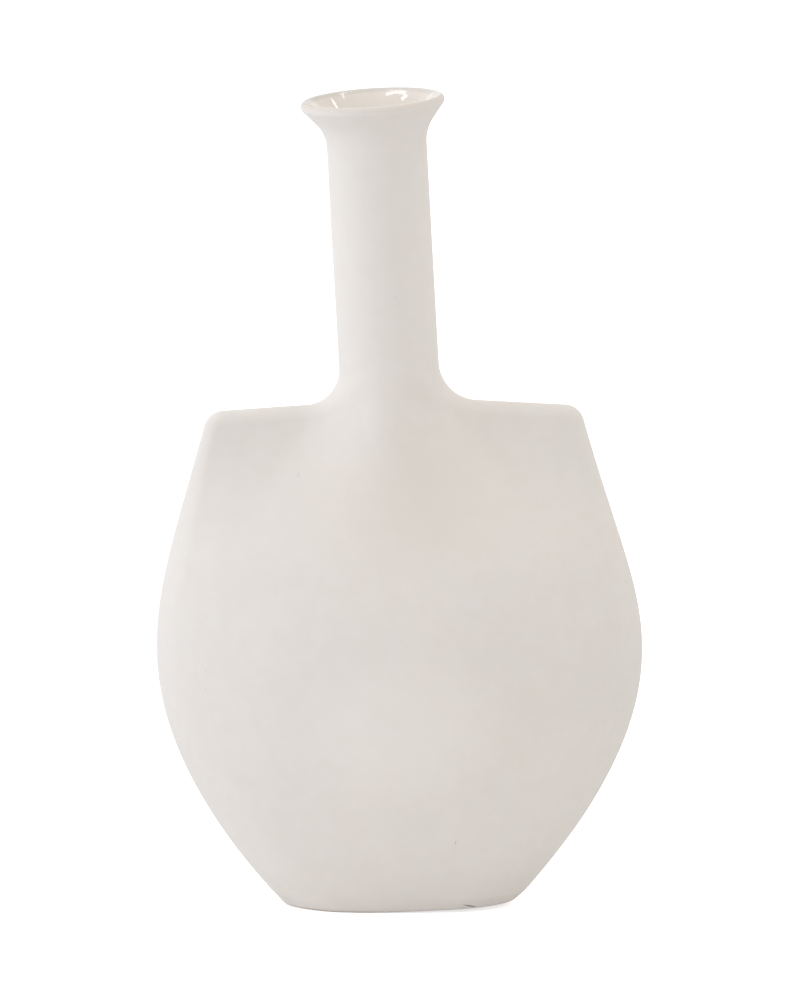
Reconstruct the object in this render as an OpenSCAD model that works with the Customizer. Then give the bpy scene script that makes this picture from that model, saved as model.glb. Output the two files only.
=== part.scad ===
// Long-neck vase: a flat-shouldered stoneware body with a leaning round neck and a flared mouth.
// Millimetres, +Z up, front towards -Y. The origin is the centre of the flat foot.
// The clay pieces are the base slab, two pressed shells that meet in the plane y = 0, the neck tube
// and the mouth flare. Each has its own coat of glaze on the inside.

/* [Body] */
// Width of the body at its widest
belly_w = 237.5; // [215:0.5:260]
// How far the belly swells over to the right of the middle
belly_right = 0.5; // [0:0.1:3]
// Height of the widest place above the foot
belly_h = 126; // [112:1:140]
// Depth of the body at its deepest, front to back
belly_depth = 122; // [100:1:136]
// Height of the deepest place above the foot
depth_h = 108; // [95:1:125]
// Thickness of the clay walls
wall = 5; // [4:0.1:5.5]
// How far the foot's flare carries up the side outline
flare_reach = 50; // [40:1:60]
// How far the belly's upright stretch carries down the side outline
belly_drop = 40; // [30:1:50]
// How far the belly's upright stretch carries up the side outline
belly_rise = 32; // [25:1:45]
// How far the straight side below the shoulder carries down the outline
side_run = 52; // [40:1:65]

/* [Foot] */
// Width of the base slab across its top
foot_w = 124; // [110:1:135]
// Depth of the base slab across its top
foot_depth = 72; // [60:1:84]
// Thickness of the base slab
base_t = 7; // [6:0.1:9]
// Radius that rounds the slab's lower edge
foot_round = 6; // [4:0.1:7]
// Lean of the side walls where they leave the slab, in degrees
side_flare = 42; // [36:1:46]
// Lean of the front and back walls where they leave the slab, in degrees
front_flare = 30; // [20:1:36]
// Radius that rounds the body's side seam at the foot
foot_seam_r = 24; // [16:1:28]

/* [Shoulders] */
// Reach of the left shoulder's corner from the middle, before rounding
left_reach = 93; // [88:0.1:98]
// Reach of the right shoulder's corner from the middle, before rounding
right_reach = 88.5; // [84:0.1:94]
// Height of the left shoulder's corner above the foot, before rounding
shoulder_h = 242.6; // [228:0.1:260]
// How much higher the right shoulder's corner is
right_lift = 3.4; // [0:0.1:6]
// Rise of the left shoulder towards the neck, in degrees
left_rise = 4; // [2:0.1:6]
// Rise of the right shoulder towards the neck, in degrees
right_rise = 2.7; // [1:0.1:4]
// Lean of the sides below the shoulders, in degrees
side_lean = 15.5; // [12:0.1:19]
// Radius that rounds the shoulders' corners in the outline
corner_r = 10; // [7:0.1:12]
// Thickness of the pinched shoulder ridges, front to back
ridge_t = 13; // [13:0.1:18]
// Radius that rounds the side seam at the belly
belly_seam_r = 11; // [8:0.1:16]

/* [Neck] */
// Outer diameter of the neck
neck_d = 49; // [45:0.1:52]
// Lean of the neck towards the left shoulder, in degrees
neck_lean = 3.15; // [0:0.05:4]
// Height of the neck's root above the left shoulder's corner, where the tube stands on the shells
root_lift = 27.4; // [26:0.1:36]
// Place of the neck's axis at the root, left of the middle
root_left = 5; // [0:0.1:8]
// Length of the neck tube
neck_len = 103.7; // [90:0.1:120]
// Radius of the hollow between the left shoulder and the neck
left_hollow_r = 17; // [12:0.1:18]
// Radius of the hollow between the right shoulder and the neck
right_hollow_r = 19.3; // [12:0.1:21]

/* [Mouth] */
// Outer diameter of the mouth
mouth_d = 71.4; // [66:0.1:78]
// Radius of the flare's hollow outer side, which starts at the neck tube
flare_r = 18.5; // [14:0.1:20]
// Opening angle of the flare's upper side, in degrees from its axis
flare_angle = 40; // [34:1:44]

/* [Glaze] */
// Thickness of the glassy coat on the inside
glaze_t = 0.6; // [0.5:0.05:0.9]

/* [Hidden] */

neck_r = neck_d / 2;
bore_r = neck_r - wall - glaze_t;
ridge_h = shoulder_h + right_lift;
root_h = shoulder_h + root_lift;
clay = "#e6ded6";
glass = "#ebe4dc";

// Rows of the shell's grid along each stretch of the outline, and columns from a side to the middle
foot_rows = 7;
side_rows = 6;
corner_rows = 3;
ridge_rows = 4;
hollow_rows = 4;
half_cols = 10;
// Rings that round the slab's lower edge, and segments of a turned piece
edge_rings = 3;
turns = 96;
arc_steps = 10;

// Shares that shape the form, free of the vase's size
row_share = 0.36;
crowd_share = 0.8;
lens_share = 1.22;
ridge_from_share = 0.42;
ridge_to_share = 1;
ridge_spread_share = 3.4;
ridge_root_share = 1.3;
upright_share = 0.35;

// Numbers
function mix(a, b, s) = a + (b - a) * s;
function limit(v) = max(0, min(1, v));
function ease(v) = let (s = limit(v)) s * s * (3 - 2 * s);
function rise(z, low, high) = ease((z - low) / (high - low));
function cubic(a, b, c, d, s) =
    pow(1 - s, 3) * a + 3 * pow(1 - s, 2) * s * b + 3 * (1 - s) * s * s * c + pow(s, 3) * d;
function cubic_slope(a, b, c, d, s) =
    pow(1 - s, 2) * (b - a) + 2 * (1 - s) * s * (c - b) + s * s * (d - c);

// Side outline. A place on it is [reach, height, turn]: the reach is measured outwards from the
// middle, and the turn is the outline's angle from upright, positive where it heads inwards.
function along(turn) = [-sin(turn), cos(turn)];
function outward(turn) = [cos(turn), sin(turn)];
function curve_place(a, b, c, d, s) =
    let (p = cubic(a, b, c, d, s), t = cubic_slope(a, b, c, d, s)) [p.x, p.y, atan2(-t.x, t.y)];
function curve_run(p, p_turn, p_reach, q, q_turn, q_reach, steps) =
    [for (k = [0 : steps])
        curve_place(p, p + along(p_turn) * p_reach, q - along(q_turn) * q_reach, q, k / steps)];

function corner_place(side) = side > 0 ? [right_reach, ridge_h] : [left_reach, shoulder_h];
function ridge_turn(side) = 90 - (side > 0 ? right_rise : left_rise);
function hollow_radius(side) = side > 0 ? right_hollow_r : left_hollow_r;
function root_edge(side) =
    [-side * root_left + neck_r * cos(neck_lean), root_h + side * neck_r * sin(neck_lean)];

// Length of the ridge line from the corner to where it would meet the neck's side
function ridge_run(side) =
    let (gap = corner_place(side) - root_edge(side), turn = ridge_turn(side), lean = side * neck_lean)
    (gap.x + gap.y * tan(lean)) / (sin(turn) - cos(turn) * tan(lean));

function outline(side) =
    let (
        low = [foot_w / 2, base_t],
        mid = [belly_w / 2 + side * belly_right, belly_h],
        turn = ridge_turn(side),
        lean = side * neck_lean,
        corner = corner_place(side),
        bevel = corner_r * tan((turn - side_lean) / 2),
        corner_in = corner - along(side_lean) * bevel,
        corner_mid = corner_in - outward(side_lean) * corner_r,
        corner_out = corner + along(turn) * bevel,
        hollow_r = hollow_radius(side),
        meet = corner + along(turn) * ridge_run(side),
        hollow_in = meet - along(turn) * hollow_r * tan((turn - lean) / 2),
        hollow_mid = hollow_in + outward(turn) * hollow_r,
        below = curve_run(low, -side_flare, flare_reach, mid, 0, belly_drop, foot_rows),
        above = curve_run(mid, 0, belly_rise, corner_in, side_lean, side_run, side_rows)
    )
    concat(
        below,
        [for (k = [1 : side_rows]) above[k]],
        [for (k = [1 : corner_rows])
            let (a = mix(side_lean, turn, k / corner_rows), p = corner_mid + outward(a) * corner_r)
            [p.x, p.y, a]],
        [for (k = [1 : ridge_rows])
            let (p = mix(corner_out, hollow_in, k / ridge_rows)) [p.x, p.y, turn]],
        [for (k = [1 : hollow_rows])
            let (a = mix(turn, lean, k / hollow_rows), p = hollow_mid - outward(a) * hollow_r)
            [p.x, p.y, a]],
        [let (p = root_edge(side)) [p.x, p.y, lean]]
    );

left_line = outline(-1);
right_line = outline(1);
last_row = len(left_line) - 1;
widths_to = foot_rows + side_rows + corner_rows;
left_widths = [for (k = [0 : widths_to]) [left_line[k].y, left_line[k].x]];
right_widths = [for (k = [0 : widths_to]) [right_line[k].y, right_line[k].x]];

// The outline in the front view, carried on straight below the slab's top, and the way to it from a point
function edge_path(side) =
    let (line = [for (p = side > 0 ? right_line : left_line) [side * p.x, p.y]], low = along(-side_flare))
    concat([line[0] - foot_w / 2 * [side * low.x, low.y]], line);
left_path = edge_path(-1);
right_path = edge_path(1);
function way_to(p, a, b) =
    let (ab = b - a, s = limit((p - a) * ab / (ab * ab))) norm(p - a - ab * s);
function way_in(p, side) =
    let (path = side > 0 ? right_path : left_path)
    min([for (k = [1 : len(path) - 1]) way_to(p, path[k - 1], path[k])]);

// Half depth of the body at each height, and the radius that rounds its seam
function middle_depth(z) =
    z < depth_h
        ? let (s = (z - base_t) / (depth_h - base_t), third = (depth_h - base_t) / 3)
          cubic(foot_depth / 2, foot_depth / 2 + tan(front_flare) * third, belly_depth / 2, belly_depth / 2, s)
        : mix(belly_depth / 2, neck_r, rise(z, depth_h, root_h));
function seam_radius(z) =
    z < belly_h
        ? mix(foot_seam_r, belly_seam_r, rise(z, base_t, belly_h))
        : z < ridge_h
            ? mix(belly_seam_r, ridge_t / 2, rise(z, belly_h, mix(belly_h, ridge_h, ridge_to_share)))
            : mix(ridge_t / 2, neck_r, rise(z, ridge_h, root_h));
function ridge_part(z) =
    rise(z, mix(depth_h, ridge_h, ridge_from_share), mix(depth_h, ridge_h, ridge_to_share));
function ridge_width(z) =
    neck_r * mix(ridge_spread_share, ridge_root_share, rise(z, mix(depth_h, ridge_h, ridge_from_share), root_h));
function middle_x(z) = -root_left * rise(z, belly_h, root_h);

// The lens is a flat arc across the belly, and the ridge is a soft wave that runs down from the neck
function lens(u) =
    let (flat = sqrt(pow(lens_share, 2) - 1))
    (sqrt(pow(lens_share, 2) - pow(limit(u), 2)) - flat) / (lens_share - flat);
function wave(u) = (1 + cos(180 * limit(u))) / 2;
function edge(u) = sqrt(1 - pow(1 - limit(u), 2));

// Half depth at a point of the front view
function half_depth(x, z, side) =
    let (
        r = seam_radius(z),
        share = ridge_part(z),
        across = abs(x) / lookup(z, x > 0 ? right_widths : left_widths),
        swell = mix(lens(across), wave(abs(x - middle_x(z)) / ridge_width(z)), share)
    )
    (r + (middle_depth(z) - r) * swell) * edge(way_in([x, z], side) / r);

// A row of the front view runs from the outline to the middle. Rows leave the outline squarely, and
// near a shoulder's corner, where they would cross, they turn towards the middle sooner.
function middle_place(row) =
    row <= foot_rows
        ? [0, left_line[row].y]
        : let (s = (row - foot_rows) / (last_row - foot_rows), z = mix(belly_h, root_h, s))
          [row == last_row ? -root_left : middle_x(z), z];
function middle_lean(row) = row <= foot_rows ? 0 : neck_lean * ease((row - foot_rows) / (last_row - foot_rows));
function row_point(row, side, s) =
    let (
        line = side > 0 ? right_line[row] : left_line[row],
        lean = middle_lean(row),
        from = [side * line.x, line.y],
        to = middle_place(row),
        straight = row <= foot_rows || row == last_row,
        reach = norm(to - from) * (straight ? 1 / 3 : row_share),
        turn_at = straight ? reach : min(reach, crowd_share * norm([line.x, line.y] - corner_place(side))),
        leave = row <= foot_rows ? [-side, 0] : -[side * cos(line.z), sin(line.z)],
        p = cubic(from, from + leave * turn_at, to + side * [cos(lean), sin(lean)] * reach, to, s)
    )
    [p.x, -half_depth(p.x, p.y, side), p.y];

// The front's outer points, from the left edge (column 0) to the right edge
cols = 2 * half_cols;
outer = [for (row = [0 : last_row])
    [for (col = [0 : cols])
        col == half_cols
            ? row_point(row, 1, 1)
            : col < half_cols
                ? row_point(row, -1, 1 - cos(90 * col / half_cols))
                : row_point(row, 1, 1 - cos(90 * (cols - col) / half_cols))]];

// Outward directions, taken from the neighbours so that walls have one thickness
function unit(v) = v / norm(v);
function flip(p) = [p.x, -p.y, p.z];
function tangent(a, b, c) =
    let (back = b - a, on = c - b) back * (norm(on) / norm(back)) + on * (norm(back) / norm(on));
function column_at(row, col) =
    col < 0 ? flip(outer[row][-col]) : col > cols ? flip(outer[row][2 * cols - col]) : outer[row][col];
function edge_out(row, col) =
    col == 0
        ? [-cos(left_line[row].z), 0, sin(left_line[row].z)]
        : [cos(right_line[row].z), 0, sin(right_line[row].z)];
function root_out(p) = unit(p - [-root_left, 0, root_h]);
function facing(row, col) =
    col == 0 || col == cols
        ? edge_out(row, col)
        : row == last_row
            ? root_out(outer[row][col])
            : let (
                p = outer[row][col],
                across = tangent(column_at(row, col - 1), p, column_at(row, col + 1)),
                up = row == 0 ? outer[1][col] - p : tangent(outer[row - 1][col], p, outer[row + 1][col])
              )
              unit(cross(across, up));
faces_out = [for (row = [0 : last_row]) [for (col = [0 : cols]) facing(row, col)]];

// The same surface moved in by a depth. Its lowest row stays level with the slab's top.
function sunk(row, col, depth) =
    let (
        n = faces_out[row][col],
        v = [n.x, n.y, n.z * rise(outer[row][0].z, base_t, base_t + upright_share * belly_h)]
    )
    outer[row][col] - depth * v / (v * n);
function sheet(depth) = [for (row = [0 : last_row]) [for (col = [0 : cols]) sunk(row, col, depth)]];
clay_in = sheet(wall);
glass_in = sheet(wall + glaze_t);

// Faces between two rows of points, each given by the place of its first point. A closed ring's second
// half is split like a mirror image of its first.
function band(a, b, steps, closed) =
    [for (k = [0 : steps - 1])
        let (n = closed && k == steps - 1 ? 0 : k + 1)
        each closed && k >= steps / 2
            ? [[a + k, a + n, b + k], [a + n, b + n, b + k]]
            : [[a + k, a + n, b + n], [a + k, b + n, b + k]]];
function turned_over(faces) = [for (f = faces) [f[0], f[2], f[1]]];
function flat(rows) = [for (row = rows) each row];

// Half of the body, between its outer and inner sheets
module shell_front() {
    width = cols + 1;
    inner_from = (last_row + 1) * width;
    rim = [for (row = [0 : last_row]) row * width];
    outside = [for (row = [0 : last_row - 1]) each band(row * width, (row + 1) * width, cols, false)];
    inside = [for (f = turned_over(outside)) [for (i = f) i + inner_from]];
    left_edge = [for (row = [0 : last_row - 1])
        let (a = rim[row], b = rim[row + 1])
        each [[a, b, b + inner_from], [a, b + inner_from, a + inner_from]]];
    right_edge = [for (row = [0 : last_row - 1])
        let (a = rim[row] + cols, b = rim[row + 1] + cols)
        each [[a, b + inner_from, b], [a, a + inner_from, b + inner_from]]];
    low_edge = band(inner_from, 0, cols, false);
    top_edge = band(rim[last_row], rim[last_row] + inner_from, cols, false);
    polyhedron(
        points = concat(flat(outer), flat(clay_in)),
        faces = turned_over(concat(outside, inside, left_edge, right_edge, low_edge, top_edge)),
        convexity = 6
    );
}

// A full ring of points from a front row and its mirror image behind
function ring(row) = concat(row, [for (k = [len(row) - 2 : -1 : 1]) flip(row[k])]);

// The slab is its flat core with the edge that flares out to the walls
module base_slab() {
    around = 2 * cols;
    turn = 90 - side_flare;
    heel = foot_round * (1 - cos(turn));
    inset = foot_round * sin(turn) + (base_t - heel) * tan(side_flare);
    rings = [for (k = [0 : edge_rings + 1])
        let (
            top = k > edge_rings,
            a = turn * k / edge_rings,
            share = 1 - (top ? 0 : inset - foot_round * sin(a)) / (foot_w / 2)
        )
        [for (p = ring(outer[0])) [p.x * share, p.y * share, top ? base_t : foot_round * (1 - cos(a))]]];
    color(clay) union() {
        polyhedron(
            points = flat(rings),
            faces = concat(
                turned_over([for (k = [0 : edge_rings]) each band(k * around, (k + 1) * around, around, true)]),
                [[for (k = [0 : around - 1]) k]],
                [[for (k = [around - 1 : -1 : 0]) (edge_rings + 1) * around + k]]
            )
        );
        linear_extrude(base_t) polygon([for (p = rings[0]) [p.x, p.y]]);
    }
}

module front_shell() {
    color(clay) shell_front();
}

module back_shell() {
    color(clay) mirror([0, 1, 0]) shell_front();
}

// Places what is turned about the neck's axis
module on_neck(height) {
    translate([-root_left, 0, root_h]) rotate([0, -neck_lean, 0]) translate([0, 0, height]) children();
}

module tube(outer_r, inner_r, length) {
    difference() {
        cylinder(h = length, r = outer_r, $fn = turns);
        translate([0, 0, -wall]) cylinder(h = length + 2 * wall, r = inner_r, $fn = turns);
    }
}

module neck_tube() {
    color(clay) on_neck(0) tube(neck_r, neck_r - wall, neck_len);
}

module neck_glaze() {
    color(glass) on_neck(0) tube(neck_r - wall, bore_r, neck_len);
}

// Half section of the flare. The wall's outer side runs up the hollow and then a cone to the round lip.
lip_r = wall / 2;
lip_reach = mouth_d / 2 - lip_r;
cone_top_reach = lip_reach + lip_r * cos(flare_angle);
cone_low_reach = neck_r + flare_r * (1 - cos(flare_angle));
cone_rise = (cone_top_reach - cone_low_reach) / tan(flare_angle);
lip_mid = [lip_reach, flare_r * sin(flare_angle) + cone_rise + lip_r * sin(flare_angle)];
hollow_axis = [neck_r + flare_r, 0];

function flare_side(depth) =
    [for (k = [0 : arc_steps])
        let (a = flare_angle * k / arc_steps)
        hollow_axis - (flare_r + depth) * [cos(a), -sin(a)]];
function lip_arc(radius, from, to) =
    [for (k = [0 : arc_steps])
        let (a = mix(from, to, k / arc_steps)) lip_mid + radius * [cos(a), sin(a)]];

module mouth_flare() {
    profile = concat(
        flare_side(0),
        lip_arc(lip_r, -flare_angle, 180 - flare_angle),
        [for (k = [arc_steps : -1 : 0]) flare_side(wall)[k]]
    );
    color(clay) on_neck(neck_len) rotate_extrude($fn = turns) polygon(profile);
}

module mouth_glaze() {
    glass_side = flare_side(wall + glaze_t);
    profile = concat(
        flare_side(wall),
        lip_arc(lip_r, 180 - flare_angle, 90),
        lip_arc(lip_r + glaze_t, 90, 180 - flare_angle),
        [for (k = [arc_steps : -1 : 0]) glass_side[k]]
    );
    color(glass) on_neck(neck_len) rotate_extrude($fn = turns) polygon(profile);
}

module floor_glaze() {
    color(glass) translate([0, 0, base_t])
        linear_extrude(glaze_t) polygon([for (p = ring(glass_in[0])) [p.x, p.y]]);
}

// The coat that lines both shells, from the slab to the neck's root
module body_glaze() {
    around = 2 * cols;
    outside = flat([for (row = clay_in) ring(row)]);
    inside = flat([for (row = glass_in) ring(row)]);
    shift = len(outside);
    skin = [for (row = [0 : last_row - 1]) each band(row * around, (row + 1) * around, around, true)];
    color(glass) polyhedron(
        points = concat(outside, inside),
        faces = turned_over(concat(
            skin,
            [for (f = turned_over(skin)) [for (i = f) i + shift]],
            band(shift, 0, around, true),
            band(last_row * around, last_row * around + shift, around, true)
        )),
        convexity = 6
    );
}

base_slab();
front_shell();
back_shell();
neck_tube();
mouth_flare();
floor_glaze();
body_glaze();
neck_glaze();
mouth_glaze();
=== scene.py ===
# Long-neck vase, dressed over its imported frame: dry matt stoneware outside, glossy glaze inside.
# The form is worked out in millimetres and turned to metres where a mesh is made.
import math

import bpy
import numpy as np
from mathutils import Matrix, Vector


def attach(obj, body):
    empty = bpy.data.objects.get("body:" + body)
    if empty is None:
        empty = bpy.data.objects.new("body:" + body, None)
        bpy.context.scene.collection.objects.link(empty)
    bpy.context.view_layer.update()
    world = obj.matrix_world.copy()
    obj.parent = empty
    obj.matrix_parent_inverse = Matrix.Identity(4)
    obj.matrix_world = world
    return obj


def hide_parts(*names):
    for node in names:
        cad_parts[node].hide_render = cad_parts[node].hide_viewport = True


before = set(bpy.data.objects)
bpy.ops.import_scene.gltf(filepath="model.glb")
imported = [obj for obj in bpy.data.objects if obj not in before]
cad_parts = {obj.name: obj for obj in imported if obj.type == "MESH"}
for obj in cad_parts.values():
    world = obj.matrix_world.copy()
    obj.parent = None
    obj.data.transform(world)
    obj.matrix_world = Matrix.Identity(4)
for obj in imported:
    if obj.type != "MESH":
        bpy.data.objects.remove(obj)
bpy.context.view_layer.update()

MM = 0.001

# Body
BELLY_W = 237.5
BELLY_H = 126.0
BELLY_RIGHT = 0.5
BELLY_DEPTH = 122.0
DEPTH_H = 108.0
WALL = 5.0
FLARE_REACH = 50.0
BELLY_DROP = 40.0
BELLY_RISE = 32.0
SIDE_RUN = 52.0

# Foot
FOOT_W = 124.0
FOOT_DEPTH = 72.0
BASE_T = 7.0
FOOT_ROUND = 6.0
SIDE_FLARE = 42.0
FRONT_FLARE = 30.0
FOOT_SEAM_R = 24.0

# Shoulders
LEFT_REACH = 93.0
RIGHT_REACH = 88.5
SHOULDER_H = 242.6
RIGHT_LIFT = 3.4
LEFT_RISE = 4.0
RIGHT_RISE = 2.7
SIDE_LEAN = 15.5
CORNER_R = 10.0
RIDGE_T = 13.0
BELLY_SEAM_R = 11.0

# Neck and mouth
NECK_D = 49.0
NECK_LEAN = 3.15
ROOT_LIFT = 27.4
ROOT_LEFT = 5.0
NECK_LEN = 103.7
LEFT_HOLLOW_R = 17.0
RIGHT_HOLLOW_R = 19.3
MOUTH_D = 71.4
FLARE_R = 18.5
FLARE_ANGLE = 40.0
GLAZE_T = 0.6

NECK_R = NECK_D / 2
MOUTH_R = MOUTH_D / 2
RIDGE_H = SHOULDER_H + RIGHT_LIFT
ROOT_H = SHOULDER_H + ROOT_LIFT

LIP_R = WALL / 2
LIP_REACH = MOUTH_R - LIP_R
ANGLE = math.radians(FLARE_ANGLE)
CONE_TOP = LIP_REACH + LIP_R * math.cos(ANGLE)
CONE_LOW = NECK_R + FLARE_R * (1 - math.cos(ANGLE))
CONE_RISE = (CONE_TOP - CONE_LOW) / math.tan(ANGLE)
LIP_Z = FLARE_R * math.sin(ANGLE) + CONE_RISE + LIP_R * math.sin(ANGLE)

# The leaning neck's own directions, and the middle of the flare's foot
LEAN = math.radians(NECK_LEAN)
NECK_ACROSS = np.array([math.cos(LEAN), 0, math.sin(LEAN)])
NECK_BACK = np.array([0, 1, 0])
NECK_UP = np.array([-math.sin(LEAN), 0, math.cos(LEAN)])
NECK_FOOT = np.array([-ROOT_LEFT, 0, ROOT_H])
MOUTH_FOOT = NECK_FOOT + NECK_LEN * NECK_UP

# Shares that shape the form: how far a row keeps its way at its ends, how much of the way to the
# shoulder's corner it may take for that, how full the belly's section is, where the ridge starts between
# the belly and the shoulders, how many neck radii its swell spans there and at the root,
# and up to what share of the belly's height the walls turn from level to square
ROW_SHARE = 0.36
CROWD_SHARE = 0.8
LENS_SHARE = 1.22
RIDGE_FROM_SHARE = 0.42
RIDGE_SPREAD_SHARE = 3.4
RIDGE_ROOT_SHARE = 1.3
UPRIGHT_SHARE = 0.35

# Rows of the body's grid along each stretch of its outline, and columns from a side to the middle
FOOT_ROWS = 36
SIDE_ROWS = 30
CORNER_ROWS = 12
RIDGE_ROWS = 18
HOLLOW_ROWS = 18
ROOT_ROWS = 3
HALF_COLS = 56
TURNS = 4 * HALF_COLS

# How far the maker's hand left the surface below the true form, the lengths of its waves,
# how many ways each length runs, how softly the waves add up, and the seed that they are drawn from
HAND_DEPTH = 0.22
HAND_WAVES = (52.0, 74.0, 95.0, 130.0, 170.0)
HAND_WAYS = 3
HAND_SOFTNESS = 3.0
HAND_SEED = 11

# The foot's right front doesn't reach the floor: how far it rises, the way that it rises in degrees
# from the right to the front, from where, and over how far
FOOT_LIFT = 1.6
LIFT_TURN = 30.0
LIFT_FROM = -5.0
LIFT_RUN = 60.0

# The maker's thumb rubbed the ridge into the neck's root: from what height and fully from what height,
# fully up to what way from the neck's middle and up to what way at all, from what share of the columns
# in from the outline, and with how many strokes
THUMB_FROM = 222.0
THUMB_FULL = 240.0
THUMB_NEAR = 30.0
THUMB_FAR = 58.0
THUMB_IN = 0.55
THUMB_STROKES = 12

# The slab's left end stands back from the shells
SLAB_STEP = 0.35
STEP_FROM = 45.0
STEP_RUN = 12.0

# The rim settled in the kiln: its way to the left, in from both sides, down all round,
# and then down on the left and up on the right, down in front and up behind
RIM_LEFT = 0.85
RIM_NARROW = 0.45
RIM_DOWN = 0.3
RIM_LEFT_DOWN = 0.3
RIM_FRONT_DOWN = 1.0

# The glaze ran down from the lip: how thick it stayed at the lip's foot and at its own edge,
# and where that edge lies over the lip, in degrees from level
GLAZE_LIP_T = 0.25
GLAZE_EDGE_T = 0.06
GLAZE_ENDS = 72.0


# Numbers
def mix(a, b, share):
    return a + (b - a) * share


def ease(value):
    s = np.clip(value, 0, 1)
    return s * s * (3 - 2 * s)


def rise(z, low, high):
    """0 up to one height, 1 from another on, and smooth between."""
    return ease((z - low) / (high - low))


def cubic(a, b, c, d, s):
    return (1 - s) ** 3 * a + 3 * (1 - s) ** 2 * s * b + 3 * (1 - s) * s * s * c + s ** 3 * d


def cubic_slope(a, b, c, d, s):
    return (1 - s) ** 2 * (b - a) + 2 * (1 - s) * s * (c - b) + s * s * (d - c)


def along(turn):
    """The way up a side that leans in by a turn in degrees."""
    return np.array([-math.sin(math.radians(turn)), math.cos(math.radians(turn))])


def outward(turn):
    """The way out of such a side."""
    return np.array([math.cos(math.radians(turn)), math.sin(math.radians(turn))])


def tan(turn):
    return math.tan(math.radians(turn))


def flip(points):
    """The same places in the back, mirrored over the plane of the seam."""
    return points * [1, -1, 1]


def unit(v):
    return v / np.linalg.norm(v, axis=-1, keepdims=True)


# The body's form, as in the frame
def curve_run(p, p_turn, p_reach, q, q_turn, q_reach, steps):
    """Places [reach, height, turn] along a curve that leaves p and reaches q at the given turns."""
    s = np.linspace(0, 1, steps + 1)[:, None]
    ends = (p, p + along(p_turn) * p_reach, q - along(q_turn) * q_reach, q)
    place = cubic(*ends, s)
    slope = cubic_slope(*ends, s)
    return np.column_stack([place, np.degrees(np.arctan2(-slope[:, 0], slope[:, 1]))])


def corner_place(side):
    return np.array([RIGHT_REACH, RIDGE_H] if side > 0 else [LEFT_REACH, SHOULDER_H])


def outline(side):
    """The side outline from the slab's top to the neck's root."""
    low = np.array([FOOT_W / 2, BASE_T])
    mid = np.array([BELLY_W / 2 + side * BELLY_RIGHT, BELLY_H])
    turn = 90 - (RIGHT_RISE if side > 0 else LEFT_RISE)
    lean = side * NECK_LEAN
    hollow_r = RIGHT_HOLLOW_R if side > 0 else LEFT_HOLLOW_R
    corner = corner_place(side)
    root = np.array([-side * ROOT_LEFT, ROOT_H]) + NECK_R * outward(lean)
    bevel = CORNER_R * tan((turn - SIDE_LEAN) / 2)
    corner_in = corner - along(SIDE_LEAN) * bevel
    corner_mid = corner_in - outward(SIDE_LEAN) * CORNER_R
    corner_out = corner + along(turn) * bevel
    gap = corner - root
    sine, cosine = math.sin(math.radians(turn)), math.cos(math.radians(turn))
    run = (gap[0] + gap[1] * tan(lean)) / (sine - cosine * tan(lean))
    meet = corner + along(turn) * run
    hollow_in = meet - along(turn) * hollow_r * tan((turn - lean) / 2)
    hollow_mid = hollow_in + outward(turn) * hollow_r
    hollow_out = hollow_mid - outward(lean) * hollow_r
    places = list(curve_run(low, -SIDE_FLARE, FLARE_REACH, mid, 0, BELLY_DROP, FOOT_ROWS))
    places += list(curve_run(mid, 0, BELLY_RISE, corner_in, SIDE_LEAN, SIDE_RUN, SIDE_ROWS)[1:])
    for k in range(1, CORNER_ROWS + 1):
        a = mix(SIDE_LEAN, turn, k / CORNER_ROWS)
        places.append([*(corner_mid + outward(a) * CORNER_R), a])
    for k in range(1, RIDGE_ROWS + 1):
        places.append([*mix(corner_out, hollow_in, k / RIDGE_ROWS), turn])
    for k in range(1, HOLLOW_ROWS + 1):
        a = mix(turn, lean, k / HOLLOW_ROWS)
        places.append([*(hollow_mid - outward(a) * hollow_r), a])
    for k in range(1, ROOT_ROWS + 1):
        places.append([*mix(hollow_out, root, k / ROOT_ROWS), lean])
    return np.array(places)


# The outlines of the left and the right side. Their places up to the corner give the body's width.
LINES = {-1: outline(-1), 1: outline(1)}
LAST_ROW = len(LINES[1]) - 1
WIDTHS_TO = FOOT_ROWS + SIDE_ROWS + CORNER_ROWS + 1
COLS = 2 * HALF_COLS


def edge_path(side):
    """The outline in the front view, carried on straight below the slab's top."""
    line = LINES[side][:, :2] * [side, 1]
    below = line[0] - FOOT_W / 2 * along(-SIDE_FLARE) * [side, 1]
    return np.vstack([below, line])


PATHS = {-1: edge_path(-1), 1: edge_path(1)}


def way_in(places, side):
    """Distance of each place (x, z) from the outline."""
    a, b = PATHS[side][:-1], PATHS[side][1:]
    ab = b - a
    share = np.clip(((places[:, None] - a) * ab).sum(-1) / (ab ** 2).sum(-1), 0, 1)
    return np.linalg.norm(places[:, None] - (a + share[..., None] * ab), axis=-1).min(1)


def middle_depth(z):
    """How far the front's middle line stands forward at each height."""
    s = (z - BASE_T) / (DEPTH_H - BASE_T)
    lift = tan(FRONT_FLARE) * (DEPTH_H - BASE_T) / 3
    low = cubic(FOOT_DEPTH / 2, FOOT_DEPTH / 2 + lift, BELLY_DEPTH / 2, BELLY_DEPTH / 2, s)
    return np.where(z < DEPTH_H, low, mix(BELLY_DEPTH / 2, NECK_R, rise(z, DEPTH_H, ROOT_H)))


def seam_radius(z):
    """Radius that rounds the body's edge at each height."""
    low = mix(FOOT_SEAM_R, BELLY_SEAM_R, rise(z, BASE_T, BELLY_H))
    side = mix(BELLY_SEAM_R, RIDGE_T / 2, rise(z, BELLY_H, RIDGE_H))
    root = mix(RIDGE_T / 2, NECK_R, rise(z, RIDGE_H, ROOT_H))
    return np.where(z < BELLY_H, low, np.where(z < RIDGE_H, side, root))


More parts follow.
